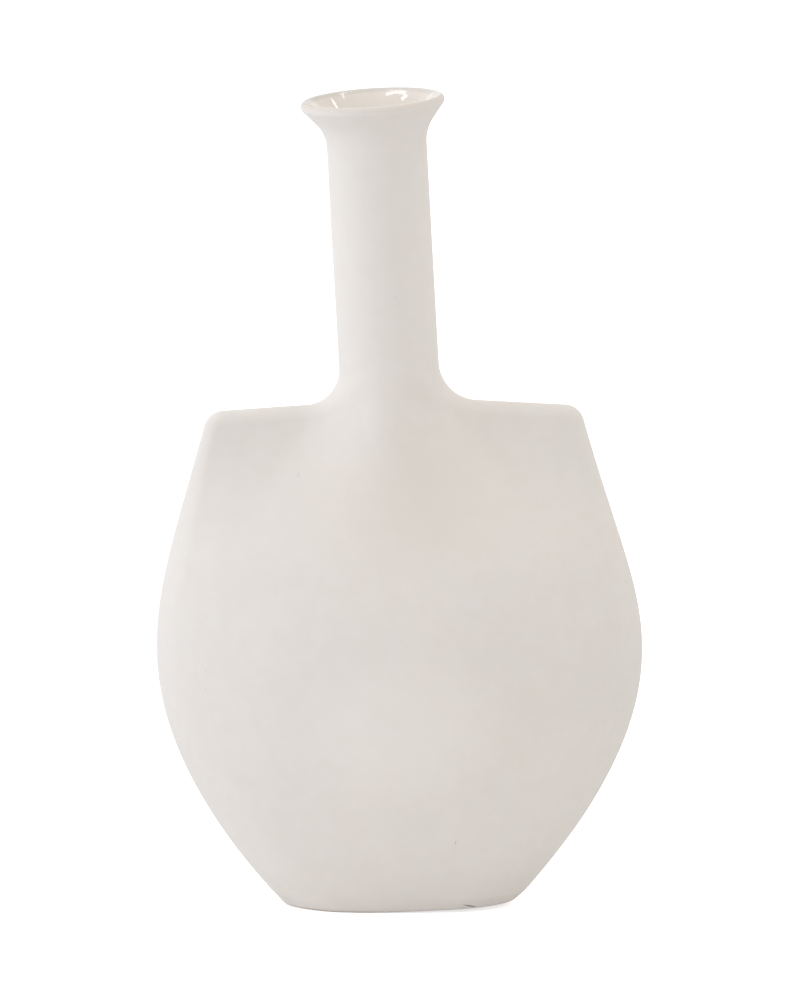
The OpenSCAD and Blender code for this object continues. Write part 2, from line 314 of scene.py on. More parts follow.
def half_depth(places, side):
    """How far the surface stands in front of the plane of the seam."""
    x, z = places[:, 0], places[:, 1]
    r = seam_radius(z)
    ridge_from = mix(DEPTH_H, RIDGE_H, RIDGE_FROM_SHARE)
    ridge_part = rise(z, ridge_from, RIDGE_H)
    ridge_w = NECK_R * mix(RIDGE_SPREAD_SHARE, RIDGE_ROOT_SHARE, rise(z, ridge_from, ROOT_H))
    line = LINES[side][:WIDTHS_TO]
    across = np.clip(np.abs(x) / np.interp(z, line[:, 1], line[:, 0]), 0, 1)
    flat = math.sqrt(LENS_SHARE ** 2 - 1)
    lens = (np.sqrt(LENS_SHARE ** 2 - across ** 2) - flat) / (LENS_SHARE - flat)
    off = np.abs(x + ROOT_LEFT * rise(z, BELLY_H, ROOT_H)) / ridge_w
    wave = (1 + np.cos(np.pi * np.clip(off, 0, 1))) / 2
    swell = mix(lens, wave, ridge_part)
    edge = np.sqrt(1 - (1 - np.clip(way_in(places, side) / r, 0, 1)) ** 2)
    return (r + (middle_depth(z) - r) * swell) * edge


def row_points(row, side):
    """One row of the front, from the outline to the middle."""
    line = LINES[side][row]
    level = row <= FOOT_ROWS
    up = 0 if level else (row - FOOT_ROWS) / (LAST_ROW - FOOT_ROWS)
    z = line[1] if level else mix(BELLY_H, ROOT_H, up)
    to = np.array([0 if level else -ROOT_LEFT * rise(z, BELLY_H, ROOT_H), z])
    start = np.array([side * line[0], line[1]])
    straight = level or row == LAST_ROW
    reach = np.linalg.norm(to - start) * (1 / 3 if straight else ROW_SHARE)
    crowd = CROWD_SHARE * np.linalg.norm(line[:2] - corner_place(side))
    turn_at = reach if straight else min(reach, crowd)
    leave = np.array([-side, 0]) if level else -outward(line[2]) * [side, 1]
    arrive = outward(NECK_LEAN * ease(up))
    s = 1 - np.cos(np.linspace(0, np.pi / 2, HALF_COLS + 1))[:, None]
    places = cubic(start, start + leave * turn_at, to + side * arrive * reach, to, s)
    return np.column_stack([places[:, 0], -half_depth(places, side), places[:, 1]])


def front_sheet():
    """The front's outer points, rows from the foot up, columns from the left edge to the right edge."""
    rows = []
    for row in range(LAST_ROW + 1):
        left, right = row_points(row, -1), row_points(row, 1)
        rows.append(np.vstack([left[:-1], right[::-1]]))
    return np.array(rows)


def thumbed(sheet):
    """The sheet with the ridge rubbed into the neck's root. The outline and the root's end stay put."""
    from_side = HALF_COLS - np.abs(np.arange(COLS + 1) - HALF_COLS)
    soft = ease(from_side / (THUMB_IN * HALF_COLS)) * rise(sheet[..., 2], THUMB_FROM, THUMB_FULL)
    soft *= 1 - rise(np.abs(sheet[..., 0] + ROOT_LEFT), THUMB_NEAR, THUMB_FAR)
    rubbed = sheet.copy()
    for _ in range(THUMB_STROKES):
        between = (rubbed[:-2] + rubbed[2:]) / 2
        rubbed[1:-1] = mix(rubbed[1:-1], between, soft[1:-1, :, None] / 2)
    return rubbed


def facing(sheet):
    """Outward directions of the sheet, with the back's mirror image as its neighbour past each edge."""
    wide = np.concatenate([flip(sheet[:, 1:2]), sheet, flip(sheet[:, -2:-1])], axis=1)

    def tangent(a, b, c):
        back, on = b - a, c - b
        ratio = np.linalg.norm(on, axis=-1, keepdims=True) / np.linalg.norm(back, axis=-1, keepdims=True)
        return back * ratio + on / ratio

    across = tangent(wide[:, :-2], wide[:, 1:-1], wide[:, 2:])
    up = np.empty_like(sheet)
    up[1:-1] = tangent(sheet[:-2], sheet[1:-1], sheet[2:])
    up[0] = sheet[1] - sheet[0]
    up[-1] = sheet[-1] - sheet[-2]
    out = unit(np.cross(across, up))
    for col, side in ((0, -1), (-1, 1)):
        turn = np.radians(LINES[side][:, 2])
        out[:, col] = np.column_stack([side * np.cos(turn), 0 * turn, np.sin(turn)])
    out[-1] = unit(sheet[-1] - [-ROOT_LEFT, 0, ROOT_H])
    return out


def sunk(sheet, out, depth):
    """The sheet moved in by a depth. Its lowest row stays level with the slab's top."""
    level = rise(sheet[:, :1, 2], BASE_T, BASE_T + UPRIGHT_SHARE * BELLY_H)
    v = out.copy()
    v[..., 2] *= level
    return sheet - depth * v / (v * out).sum(-1, keepdims=True)


# The hand that finished it
HAND = np.random.default_rng(HAND_SEED)
HAND_COUNT = HAND_WAYS * len(HAND_WAVES)
HAND_DIRS = unit(HAND.normal(size=(HAND_COUNT, 3)))
HAND_TURNS = HAND.uniform(0, 2 * np.pi, HAND_COUNT)


def hand_marks(points):
    """From 0 to 1, how deep the maker's hand pressed at each point. The slab's lower face stays flat."""
    total = np.zeros(points.shape[:-1])
    for k, direction in enumerate(HAND_DIRS):
        total += np.sin(points @ direction * 2 * np.pi / HAND_WAVES[k // HAND_WAYS] + HAND_TURNS[k])
    press = 0.5 + 0.5 * np.tanh(total / HAND_SOFTNESS)
    return press * rise(points[..., 2], 0, 2 * BASE_T)


def pressed(points, out):
    """The points sunk by the hand's marks, against the surface's directions."""
    return points - out * (HAND_DEPTH * hand_marks(points))[..., None]


# Meshes. Faces that meet at more than this angle keep a crisp edge.
CRISP = math.radians(50)


def band(a, b, steps, closed=False):
    """Faces between two rows of points, each given by the place of its first point."""
    k = np.arange(steps)
    n = (k + 1) % steps if closed else k + 1
    return np.column_stack([a + k, a + n, b + n, b + k]).tolist()


def turned_over(faces):
    return [face[::-1] for face in faces]


def ring(row):
    """A full ring of points from a front row and its mirror image behind."""
    return np.vstack([row, flip(row[-2:0:-1])])


def capped(rings, low, high):
    """A closed solid from rings of points, with one middle point under the first and one over the last."""
    around = len(rings[0])
    points = np.vstack([low, *rings, high])
    faces = [[0, 1 + (k + 1) % around, 1 + k] for k in range(around)]
    for k in range(len(rings) - 1):
        faces += band(1 + k * around, 1 + (k + 1) * around, around, True)
    last = 1 + (len(rings) - 1) * around
    faces += [[last + k, last + (k + 1) % around, len(points) - 1] for k in range(around)]
    return points, faces


def make_mesh(name, points, faces, material):
    mesh = bpy.data.meshes.new(name)
    mesh.from_pydata((np.asarray(points) * MM).tolist(), [], faces)
    mesh.materials.append(material)
    mesh.shade_smooth()
    obj = bpy.data.objects.new(name, mesh)
    bpy.context.scene.collection.objects.link(obj)
    return obj


def true_shading(obj, directions):
    """Gives each face corner the surface's true direction, or the face's own where they differ widely."""
    mesh = obj.data
    loops = np.empty(len(mesh.loops), dtype=np.int32)
    mesh.loops.foreach_get("vertex_index", loops)
    sizes = np.empty(len(mesh.polygons), dtype=np.int32)
    mesh.polygons.foreach_get("loop_total", sizes)
    flat = np.empty(len(mesh.polygons) * 3)
    mesh.polygons.foreach_get("normal", flat)
    flat = np.repeat(flat.reshape(-1, 3), sizes, axis=0)
    soft = np.asarray(directions)[loops]
    alike = np.abs((soft * flat).sum(1)) > math.cos(CRISP)
    soft = soft * np.sign((soft * flat).sum(1))[:, None]
    mesh.normals_split_custom_set(np.where(alike[:, None], soft, flat).tolist())


def hand_in(obj, node):
    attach(obj, "root")
    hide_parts(node)


# Nodes for the materials and the neck
def linear(hex_colour):
    """An sRGB hex colour as linear red, green, blue and alpha."""
    parts = [int(hex_colour[k:k + 2], 16) / 255 for k in (1, 3, 5)]
    return [*[c / 12.92 if c <= 0.04045 else ((c + 0.055) / 1.055) ** 2.4 for c in parts], 1.0]


def add(tree, kind, inputs=None, **settings):
    """Adds a node with its settings. An input is a value, or another node's output to link."""
    made = tree.nodes.new(kind)
    for name, value in settings.items():
        setattr(made, name, value)
    for key, value in (inputs or {}).items():
        if isinstance(value, bpy.types.NodeSocket):
            tree.links.new(value, made.inputs[key])
        else:
            made.inputs[key].default_value = value
    return made


def sums(tree, operation, *values):
    """What one sum gives, from numbers or other nodes' outputs."""
    return add(tree, "ShaderNodeMath", dict(enumerate(values)), operation=operation).outputs[0]


def remap(tree, value, low, high, to_low=0.0, to_high=1.0):
    """A value carried from one range over to another, and held at its ends."""
    return add(tree, "ShaderNodeMapRange",
               {"Value": value, "From Min": low, "From Max": high,
                "To Min": to_low, "To Max": to_high}).outputs[0]


def blend(tree, share, first, second):
    """A mix of two colours, with that share of the second."""
    return add(tree, "ShaderNodeMixRGB", {"Fac": share, "Color1": first, "Color2": second}).outputs["Color"]


def per_metre(size_mm):
    """The scale that gives marks of about this size on Object coordinates."""
    return 1 / (size_mm * MM)


def noise(tree, place, size_mm, detail, roughness):
    """Soft marks of about one size, as values from 0 to 1."""
    return add(tree, "ShaderNodeTexNoise",
               {"Vector": place, "Scale": per_metre(size_mm), "Detail": detail,
                "Roughness": roughness}).outputs["Fac"]


def new_material(name):
    """An empty material, its tree, and Object coordinates."""
    material = bpy.data.materials.new(name)
    material.use_nodes = True
    material.node_tree.nodes.clear()
    tree = material.node_tree
    return material, tree, add(tree, "ShaderNodeTexCoord").outputs["Object"]


# A mark is full up to this share of the way from its middle to its edge
MARK_CORE = 0.4


def spot(tree, place, at, half_sizes, turn=0.0):
    """1 inside a mark at a place in millimetres, fading to 0 at its edge."""
    off = add(tree, "ShaderNodeVectorMath",
              {0: place, 1: tuple(v * MM for v in at)}, operation="SUBTRACT").outputs[0]
    turned = add(tree, "ShaderNodeVectorRotate",
                 {"Vector": off, "Angle": math.radians(turn)}, rotation_type="Y_AXIS").outputs[0]
    sized = add(tree, "ShaderNodeVectorMath",
                {0: turned, 1: tuple(v * MM for v in half_sizes)}, operation="DIVIDE").outputs[0]
    far = add(tree, "ShaderNodeVectorMath", {0: sized}, operation="LENGTH").outputs["Value"]
    return remap(tree, far, MARK_CORE, 1.0, 1.0, 0.0)


def fade(tree, place, way, start, full):
    """0 up to one distance along a way, in millimetres, and 1 from another on."""
    off = add(tree, "ShaderNodeVectorMath",
              {0: place, 1: tuple(way)}, operation="DOT_PRODUCT").outputs["Value"]
    return remap(tree, off, start * MM, full * MM)


def lip_mask(tree, place, low, high):
    """0 up to a depth below the settled lip's top, 1 from a lesser depth on, both in millimetres."""
    up = NECK_UP - RIM_FRONT_DOWN / MOUTH_R * NECK_BACK - RIM_LEFT_DOWN / MOUTH_R * NECK_ACROSS
    top = MOUTH_FOOT @ up + LIP_Z + LIP_R - RIM_DOWN
    return fade(tree, place, up, top - low, top - high)


def mouth_mask(tree, place, way, start_share, full_share):
    """0 over most of the mouth, rising to 1 towards its end that way, between two shares of its radius."""
    middle = MOUTH_FOOT @ way
    return fade(tree, place, way, middle + start_share * MOUTH_R, middle + full_share * MOUTH_R)


def worn(tree, colour, mask, share, tone):
    """A colour with a share of another tone where the mask is 1."""
    return blend(tree, sums(tree, "MULTIPLY", mask, share), colour, linear(tone))


# Tones of the slip and of the clay under it
SLIP = "#E5DED6"
GREY_SLIP = "#DED9D4"
# Painted light, on the belly low on the front and on the neck
PAINTED_LIGHT_SLIP = "#EFE9E2"
# Thin slip in the sponge's dabs, and painted shade below the neck
THIN_SLIP_AND_SHADE = "#DBD1C7"
WIPED_SLIP = "#C9BDB1"
BARE_CLAY = "#B9A48C"
PIT = "#8C7C6C"
# Painted shadow for the gap under the foot's lifted right front
GAP_SHADOW = "#4A3F36"

# Sizes in the slip: its clouds, the sponge's dabs, the sand and its depth, and the way from pinhole
# to pinhole, with the reach of a pinhole's dark middle and of its edge as shares of that way
CLOUD_SIZE = 60.0
DAB_SIZE = 9.0
SAND_SIZE = 0.9
SAND_DEPTH = 0.2
PINHOLE_APART = 17.0
PINHOLE_CORE = 0.008
PINHOLE_EDGE = 0.02

# Where in the sponge's dabs the slip gets thin and where it is thinnest, and how much of the thin
# tone shows there. Then the roughness of a wet dab and of a dry one.
DAB_FROM = 0.35
DAB_FULL = 0.75
DAB_SHARE = 0.3
DAB_SMOOTH = 0.72
DAB_ROUGH = 0.9

# Painted light low on the front and painted shade below the neck: each patch's middle and half sizes
LIT_PATCH_AT = (0.0, -60.0, 94.0)
LIT_PATCH_HALF = (60.0, 60.0, 44.0)
SHADE_PATCH_AT = (4.0, -45.0, 208.0)
SHADE_PATCH_HALF = (82.0, 60.0, 42.0)

# Marks that the photograph shows: a speck at the left shoulder, one at the lower right,
# and a painted shadow line at the foot's right front, in the gap where the lifted foot clears the floor
LEFT_SPECK_AT = (-48.6, -16.0, 213.8)
LEFT_SPECK_HALF = (0.5, 20.0, 1.6)
LOW_SPECK_AT = (27.8, -44.0, 37.0)
LOW_SPECK_HALF = (0.5, 20.0, 1.4)
GAP_SHADOW_AT = (34.8, -30.0, 3.2)
GAP_SHADOW_HALF = (4.2, 20.0, 0.5)
GAP_SHADOW_TURN = -13.0

# Depths below the lip's top where the wiping starts and where it is full,
# and heights over the floor where the slip starts to end and where the clay is bare
WIPE_FROM = 3.0
WIPE_FULL = 0.6
SLIP_ENDS = 0.9
BARE_BELOW = 0.2


def slipped_stoneware():
    """Stoneware under a thin white slip, sponged and left without glaze. The eye gets a chalky matt white,
    warmer where the slip is thin, with a fine sandy tooth, a few pinholes, and bare clay under the foot.
    Painted light brightens the belly low on the front and the neck, painted shade darkens the front below
    the neck, and a painted shadow line marks the gap under the foot's lifted right front."""
    material, tree, place = new_material("slipped_stoneware")
    clouds = noise(tree, place, CLOUD_SIZE, detail=3.0, roughness=0.5)
    sponge = noise(tree, place, DAB_SIZE, detail=4.0, roughness=0.6)
    tone = blend(tree, clouds, linear(SLIP), linear(GREY_SLIP))
    thinned = remap(tree, sponge, DAB_FROM, DAB_FULL, 0.0, DAB_SHARE)
    slip = worn(tree, tone, thinned, share=1.0, tone=THIN_SLIP_AND_SHADE)
    # Painted light on the belly low on the front, and painted shade on the front below the neck
    slip = worn(tree, slip, spot(tree, place, LIT_PATCH_AT, LIT_PATCH_HALF), share=0.35, tone=PAINTED_LIGHT_SLIP)
    slip = worn(tree, slip, spot(tree, place, SHADE_PATCH_AT, SHADE_PATCH_HALF), share=0.35, tone=THIN_SLIP_AND_SHADE)

    # Pinholes where gas left the clay, the two specks, and the painted shadow line at the foot
    cells = add(tree, "ShaderNodeTexVoronoi", {"Vector": place, "Scale": per_metre(PINHOLE_APART)})
    pinhole = remap(tree, cells.outputs["Distance"], PINHOLE_CORE, PINHOLE_EDGE, 1.0, 0.0)
    left_speck = spot(tree, place, LEFT_SPECK_AT, LEFT_SPECK_HALF)
    low_speck = spot(tree, place, LOW_SPECK_AT, LOW_SPECK_HALF)
    gap_shadow = spot(tree, place, GAP_SHADOW_AT, GAP_SHADOW_HALF, GAP_SHADOW_TURN)
    slip = worn(tree, slip, pinhole, share=0.5, tone=PIT)
    slip = worn(tree, slip, left_speck, share=0.18, tone=PIT)
    slip = worn(tree, slip, low_speck, share=0.3, tone=PIT)
    # Painted shadow: a dark line where the foot's lifted right front clears the floor
    slip = worn(tree, slip, gap_shadow, share=0.75, tone=GAP_SHADOW)

    # Painted light makes the neck and mouth lighter from the ridge up, the lip was wiped,
    # and what stood on the kiln shelf has none
    neck = fade(tree, place, (0, 0, 1), RIDGE_H, ROOT_H)
    foot = fade(tree, place, (0, 0, -1), -SLIP_ENDS, -BARE_BELOW)
    # Painted light on the neck and mouth
    slip = worn(tree, slip, neck, share=0.18, tone=PAINTED_LIGHT_SLIP)
    slip = worn(tree, slip, lip_mask(tree, place, WIPE_FROM, WIPE_FULL), share=0.5, tone=WIPED_SLIP)
    slip = worn(tree, slip, foot, share=0.8, tone=BARE_CLAY)

    sand = noise(tree, place, SAND_SIZE, detail=2.0, roughness=0.6)
    pitted = sums(tree, "SUBTRACT", sand, pinhole)
    tooth = add(tree, "ShaderNodeBump", {"Height": pitted, "Strength": 0.12, "Distance": SAND_DEPTH * MM})
    rough = remap(tree, sponge, 0.0, 1.0, DAB_SMOOTH, DAB_ROUGH)
    clay = add(tree, "ShaderNodeBsdfPrincipled",
               {"Base Color": slip, "Roughness": rough, "Normal": tooth.outputs["Normal"],
                "IOR": 1.45, "Specular IOR Level": 0.3})
    add(tree, "ShaderNodeOutputMaterial", {"Surface": clay.outputs["BSDF"]})
    return material


# Tones of the glaze: thick, where it pooled, painted shade on the mouth's left side, and where it broke
# over the lip, then a painted dark reflection over the lip's far side and painted shade over its left end
THICK_GLAZE = "#E6DFD7"
POOLED_GLAZE = "#DCD2C8"
SHADED_LEFT_GLAZE = "#C9BCAC"
LIP_GLAZE = "#C9C0B6"
DARK_REFLECTION_LIP_GLAZE = "#C4BFB8"
SHADED_LEFT_LIP_GLAZE = "#B5ADA4"

# The size and depth of the glaze's ripples, the depths below the lip's top where the glaze starts
# to break and where it is thinnest, and its roughness where it is thick and where it is thin
RIPPLE_SIZE = 14.0
RIPPLE_DEPTH = 0.6
BREAK_FROM = 2.0
BREAK_FULL = 0.4
WET = 0.06
DULL = 0.16


def clear_glaze():
    """A clear glossy stoneware glaze over white slip, poured in and out. The eye gets a wet, milky white
    with sharp reflections that ripple where the glaze ran, duller and darker where it broke on the lip.
    Painted shade darkens the mouth's left side and the lip's left end, and a painted dark reflection the
    lip's far side."""
    material, tree, place = new_material("clear_glaze")
    pool = noise(tree, place, RIPPLE_SIZE, detail=2.0, roughness=0.4)
    tone = blend(tree, pool, linear(THICK_GLAZE), linear(POOLED_GLAZE))
    left_side = mouth_mask(tree, place, -NECK_ACROSS, start_share=0.2, full_share=0.85)
    left_end = mouth_mask(tree, place, -NECK_ACROSS, start_share=0.7, full_share=0.95)
    far_side = mouth_mask(tree, place, NECK_BACK, start_share=-0.3, full_share=0.3)
    lip = lip_mask(tree, place, BREAK_FROM, BREAK_FULL)
    reflected_far_lip = sums(tree, "MULTIPLY", lip, far_side)
    shaded_left_lip = sums(tree, "MULTIPLY", lip, left_end)
    # Painted shade on the mouth's left side, which faces away from the window light
    tone = worn(tree, tone, left_side, share=0.3, tone=SHADED_LEFT_GLAZE)
    tone = worn(tree, tone, lip, share=0.25, tone=LIP_GLAZE)
    # Painted dark reflection over the lip's far side
    tone = worn(tree, tone, reflected_far_lip, share=0.5, tone=DARK_REFLECTION_LIP_GLAZE)
    # Painted shade over the lip's left end
    tone = worn(tree, tone, shaded_left_lip, share=0.7, tone=SHADED_LEFT_LIP_GLAZE)
    ripple = add(tree, "ShaderNodeBump", {"Height": pool, "Strength": 0.3, "Distance": RIPPLE_DEPTH * MM})
    glaze = add(tree, "ShaderNodeBsdfPrincipled",
                {"Base Color": tone, "Roughness": remap(tree, lip, 0.0, 1.0, WET, DULL), "IOR": 1.5,
                 "Normal": ripple.outputs["Normal"]})
    add(tree, "ShaderNodeOutputMaterial", {"Surface": glaze.outputs["BSDF"]})
    return material


CLAY = slipped_stoneware()
GLAZE = clear_glaze()


# Body pieces
true_front = thumbed(front_sheet())
true_out = facing(true_front)
outer = pressed(true_front, true_out)
outer[0] = true_front[0]
outer[:, (0, -1), 1] = 0
out_dirs = facing(outer)
clay_in = sunk(outer, out_dirs, WALL)
glaze_in = sunk(outer, out_dirs, WALL + GLAZE_T)

# Shares of the way out from the middle where the slab's faces and the pool of glaze have rings,
# and how many rings the slab's heel and the side above it have
FACE_SHARES = (0.2, 0.4, 0.6, 0.8)
POOL_SHARES = (0.25, 0.5, 0.75, 1)
HEEL_STEPS = 12
SIDE_STEPS = 4


def shell(name, node, behind):
    """Half of the body between its outer and inner sheets, closed along the seam, the slab and the root."""
    width = COLS + 1
    inner = (LAST_ROW + 1) * width
    outside = []
    left, right = [], []
    for row in range(LAST_ROW):
        a, b = row * width, (row + 1) * width
        outside += band(a, b, COLS)
        left.append([a, b, b + inner, a + inner])
        right.append([a + COLS, a + COLS + inner, b + COLS + inner, b + COLS])
    inside = [[i + inner for i in face] for face in turned_over(outside)]
    top = LAST_ROW * width
    faces = outside + inside + left + right + band(inner, 0, COLS) + band(top, top + inner, COLS)
    points = np.vstack([outer.reshape(-1, 3), clay_in.reshape(-1, 3)])
    dirs = np.vstack([out_dirs.reshape(-1, 3), out_dirs.reshape(-1, 3)])
    if behind:
        points, dirs, faces = flip(points), flip(dirs), turned_over(faces)
    obj = make_mesh(name, points, faces, CLAY)
    true_shading(obj, dirs)
    hand_in(obj, node)


def uneven(points):
    """The slab's places with the right front of the foot lifted and the left end set back."""
    x, y, z = points.T
    toward = x * math.cos(math.radians(LIFT_TURN)) - y * math.sin(math.radians(LIFT_TURN))
    lift = FOOT_LIFT * rise(toward, LIFT_FROM, LIFT_FROM + LIFT_RUN) * (1 - z / BASE_T)
    step = SLAB_STEP * rise(-x, STEP_FROM, STEP_FROM + STEP_RUN)
    return np.column_stack([x + step, y, z + lift])


def slab():
    """The oval base with its rounded lower edge, the heel. Its flat face is bare clay."""
    half = FOOT_W / 2
    turn = 90 - SIDE_FLARE
    heel = FOOT_ROUND * (1 - math.cos(math.radians(turn)))
    inset = FOOT_ROUND * math.sin(math.radians(turn)) + (BASE_T - heel) * tan(SIDE_FLARE)
    steps = [((1 - inset / half) * share, 0) for share in FACE_SHARES]
    for k in range(HEEL_STEPS + 1):
        a = math.radians(turn * k / HEEL_STEPS)
        steps.append((1 - (inset - FOOT_ROUND * math.sin(a)) / half, FOOT_ROUND * (1 - math.cos(a))))
    heel_share = steps[-1][0]
    for k in range(1, SIDE_STEPS + 1):
        steps.append((mix(heel_share, 1, k / SIDE_STEPS), mix(heel, BASE_T, k / SIDE_STEPS)))
    steps += [(share, BASE_T) for share in FACE_SHARES[::-1]]
    rim = ring(outer[0])
    rings = [rim * [share, share, 0] + [0, 0, z] for share, z in steps]
    points, faces = capped(rings, [0, 0, 0], [0, 0, BASE_T])
    obj = make_mesh("base_slab_piece", uneven(points), faces, CLAY)
    obj.data.set_sharp_from_angle(angle=CRISP)
    hand_in(obj, "base_slab")


def wall_coat():
    """The glaze that lines both shells."""
    around = 2 * COLS
    shift = (LAST_ROW + 1) * around
    points = np.vstack([ring(row) for row in clay_in] + [ring(row) for row in glaze_in])
    dirs = np.vstack([ring(row) for row in out_dirs] * 2)
    skin = []
    for row in range(LAST_ROW):
        skin += band(row * around, (row + 1) * around, around, True)
    top = LAST_ROW * around
    faces = skin + [[i + shift for i in face] for face in turned_over(skin)]
    faces += band(shift, 0, around, True) + band(top, top + shift, around, True)
    obj = make_mesh("body_glaze_piece", points, faces, GLAZE)
    true_shading(obj, dirs)
    hand_in(obj, "body_glaze")


def floor_coat():
    """The pool of glaze on the slab, inside."""
    rim = ring(glaze_in[0])
    rings = [rim * [share, share, 1] for share in POOL_SHARES]
    rings += [rim * [share, share, 1] + [0, 0, GLAZE_T] for share in POOL_SHARES[::-1]]
    points, faces = capped(rings, [0, 0, BASE_T], [0, 0, BASE_T + GLAZE_T])
    obj = make_mesh("floor_glaze_piece", points, faces, GLAZE)
    obj.data.set_sharp_from_angle(angle=CRISP)
    hand_in(obj, "floor_glaze")


shell("front_shell_piece", "front_shell", False)
shell("back_shell_piece", "back_shell", True)
slab()
wall_coat()
floor_coat()


# Neck and mouth, turned about the leaning axis: the weld within which the last turn meets the first,
# and the steps along the neck, round an arc and down the flare's straight faces
WELD = 0.002
NECK_STEPS = 40
ARC_STEPS = 24
FLARE_STEPS = 10


def turned_tree():
    """Turns the section in the mesh, whose x is the radius and z the height, about the z axis."""
    tree = bpy.data.node_groups.new("turned_piece", "GeometryNodeTree")
    sockets = {}
    for name, kind in (("Section", "Geometry"), ("Turns", "Int"), ("Places", "Int"), ("Weld", "Float"),
                       ("Material", "Material")):
        item = tree.interface.new_socket(name=name, in_out="INPUT", socket_type="NodeSocket" + kind)
        sockets[name] = item.identifier
    tree.interface.new_socket(name="Geometry", in_out="OUTPUT", socket_type="NodeSocketGeometry")
    given = add(tree, "NodeGroupInput").outputs
    grid = add(tree, "GeometryNodeMeshGrid",
               {"Size X": 1.0, "Size Y": 1.0, "Vertices X": sums(tree, "ADD", given["Turns"], 1.0),
                "Vertices Y": given["Places"]})
    index = add(tree, "GeometryNodeInputIndex").outputs[0]
    turn = sums(tree, "FLOOR", sums(tree, "DIVIDE", index, given["Places"]))
    place = sums(tree, "MODULO", index, given["Places"])
    angle = sums(tree, "DIVIDE", sums(tree, "MULTIPLY", turn, math.tau), given["Turns"])
    section = add(tree, "GeometryNodeSampleIndex",
                  {"Geometry": given["Section"], "Value": add(tree, "GeometryNodeInputPosition").outputs[0],
                   "Index": place}, data_type="FLOAT_VECTOR")
    swung = add(tree, "ShaderNodeVectorRotate",
                {"Vector": section.outputs[0], "Angle": angle}, rotation_type="Z_AXIS")
    shaped = add(tree, "GeometryNodeSetPosition",
                 {"Geometry": grid.outputs["Mesh"], "Position": swung.outputs["Vector"]})
    closed = add(tree, "GeometryNodeMergeByDistance",
                 {"Geometry": shaped.outputs["Geometry"], "Distance": given["Weld"]})
    real = add(tree, "GeometryNodeRealizeInstances", {"Geometry": closed.outputs["Geometry"]})
    coated = add(tree, "GeometryNodeSetMaterial",
                 {"Geometry": real.outputs["Geometry"], "Material": given["Material"]})
    add(tree, "NodeGroupOutput", {"Geometry": coated.outputs["Geometry"]})
    return tree, sockets


TURNED, TURNED_SOCKETS = turned_tree()


def on_neck(points, foot):
    """Places what was turned about the z axis on the leaning neck, with its foot there."""
    return points @ np.array([NECK_ACROSS, NECK_BACK, NECK_UP]) + foot


def settled(points):
    """The mouth's places as the kiln left them, unmoved at the flare's foot and fully moved at the lip."""
    share = rise(points[:, 2], 0, LIP_Z)[:, None] ** 2
    across, back = points[:, :1] / MOUTH_R, points[:, 1:2] / MOUTH_R
    left = RIM_LEFT + RIM_NARROW * across
    up = RIM_LEFT_DOWN * across + RIM_FRONT_DOWN * back - RIM_DOWN
    return points + share * np.hstack([-left, 0 * left, share * up])


def turned_mesh(name, section, material):
    """The mesh that the tree makes from a closed section, given as [radius, height] places."""
    corners = [(r * MM, 0, z * MM) for r, z in section + section[:1]]
    flat = bpy.data.meshes.new(name + "_section")
    flat.from_pydata(corners, [(k, k + 1) for k in range(len(section))], [])
    maker = bpy.data.objects.new(name + "_maker", flat)
    bpy.context.scene.collection.objects.link(maker)
    modifier = maker.modifiers.new("turned", "NODES")
    modifier.node_group = TURNED
    modifier[TURNED_SOCKETS["Turns"]] = TURNS
    modifier[TURNED_SOCKETS["Places"]] = len(corners)
    modifier[TURNED_SOCKETS["Weld"]] = WELD * MM
    modifier[TURNED_SOCKETS["Material"]] = material
    bpy.context.view_layer.update()
    graph = bpy.context.evaluated_depsgraph_get()
    mesh = bpy.data.meshes.new_from_object(maker.evaluated_get(graph))
    maker.modifiers.remove(modifier)
    bpy.data.objects.remove(maker)
    return mesh


def turned_piece(name, node, section, foot, material):
    """A section turned, set on the neck and pressed by hand. The mouth's pieces have settled too."""
    mesh = turned_mesh(name, section, material)
    obj = bpy.data.objects.new(name, mesh)
    bpy.context.scene.collection.objects.link(obj)
    points = np.empty(len(mesh.vertices) * 3)
    mesh.vertices.foreach_get("co", points)
    points = points.reshape(-1, 3) / MM
    out = on_neck(unit(points * [1, 1, 0]), 0)
    placed = on_neck(settled(points) if foot is MOUTH_FOOT else points, foot)
    mesh.vertices.foreach_set("co", (pressed(placed, out) * MM).ravel())
    mesh.update()
    mesh.shade_smooth()
    mesh.set_sharp_from_angle(angle=CRISP)
    hand_in(obj, node)


def upright(radius, low, high):
    return [[radius, z] for z in np.linspace(low, high, NECK_STEPS + 1)]


def flare_side(depth):
    """The hollow arc of the flare's side, a depth inside its outer face."""
    places = []
    for a in np.linspace(0, ANGLE, ARC_STEPS + 1):
        places.append([NECK_R + FLARE_R - (FLARE_R + depth) * math.cos(a), (FLARE_R + depth) * math.sin(a)])
    return places


def lip_arc(start, end, start_t=0.0, end_t=0.0):
    """Places over the lip, on the clay, or on a coat whose thickness goes from one size to the other."""
    places = []
    for share in np.linspace(0, 1, ARC_STEPS + 1):
        a = math.radians(mix(start, end, share))
        r = LIP_R + mix(start_t, end_t, share)
        places.append([LIP_REACH + r * math.cos(a), LIP_Z + r * math.sin(a)])
    return places


def straight(a, b):
    """Places between two places, without the ends."""
    return [mix(np.array(a), np.array(b), k / FLARE_STEPS).tolist() for k in range(1, FLARE_STEPS)]


def run_glaze(lip_foot, flare_top):
    """The wet face between the lip and the flare, thicker and thicker on its way down."""
    off = np.array([-math.cos(ANGLE), math.sin(ANGLE)])
    places = []
    for k in range(1, ARC_STEPS):
        coat = mix(GLAZE_T, GLAZE_LIP_T, (1 - k / ARC_STEPS) ** 2)
        places.append((mix(np.array(lip_foot), np.array(flare_top), k / ARC_STEPS) + coat * off).tolist())
    return places


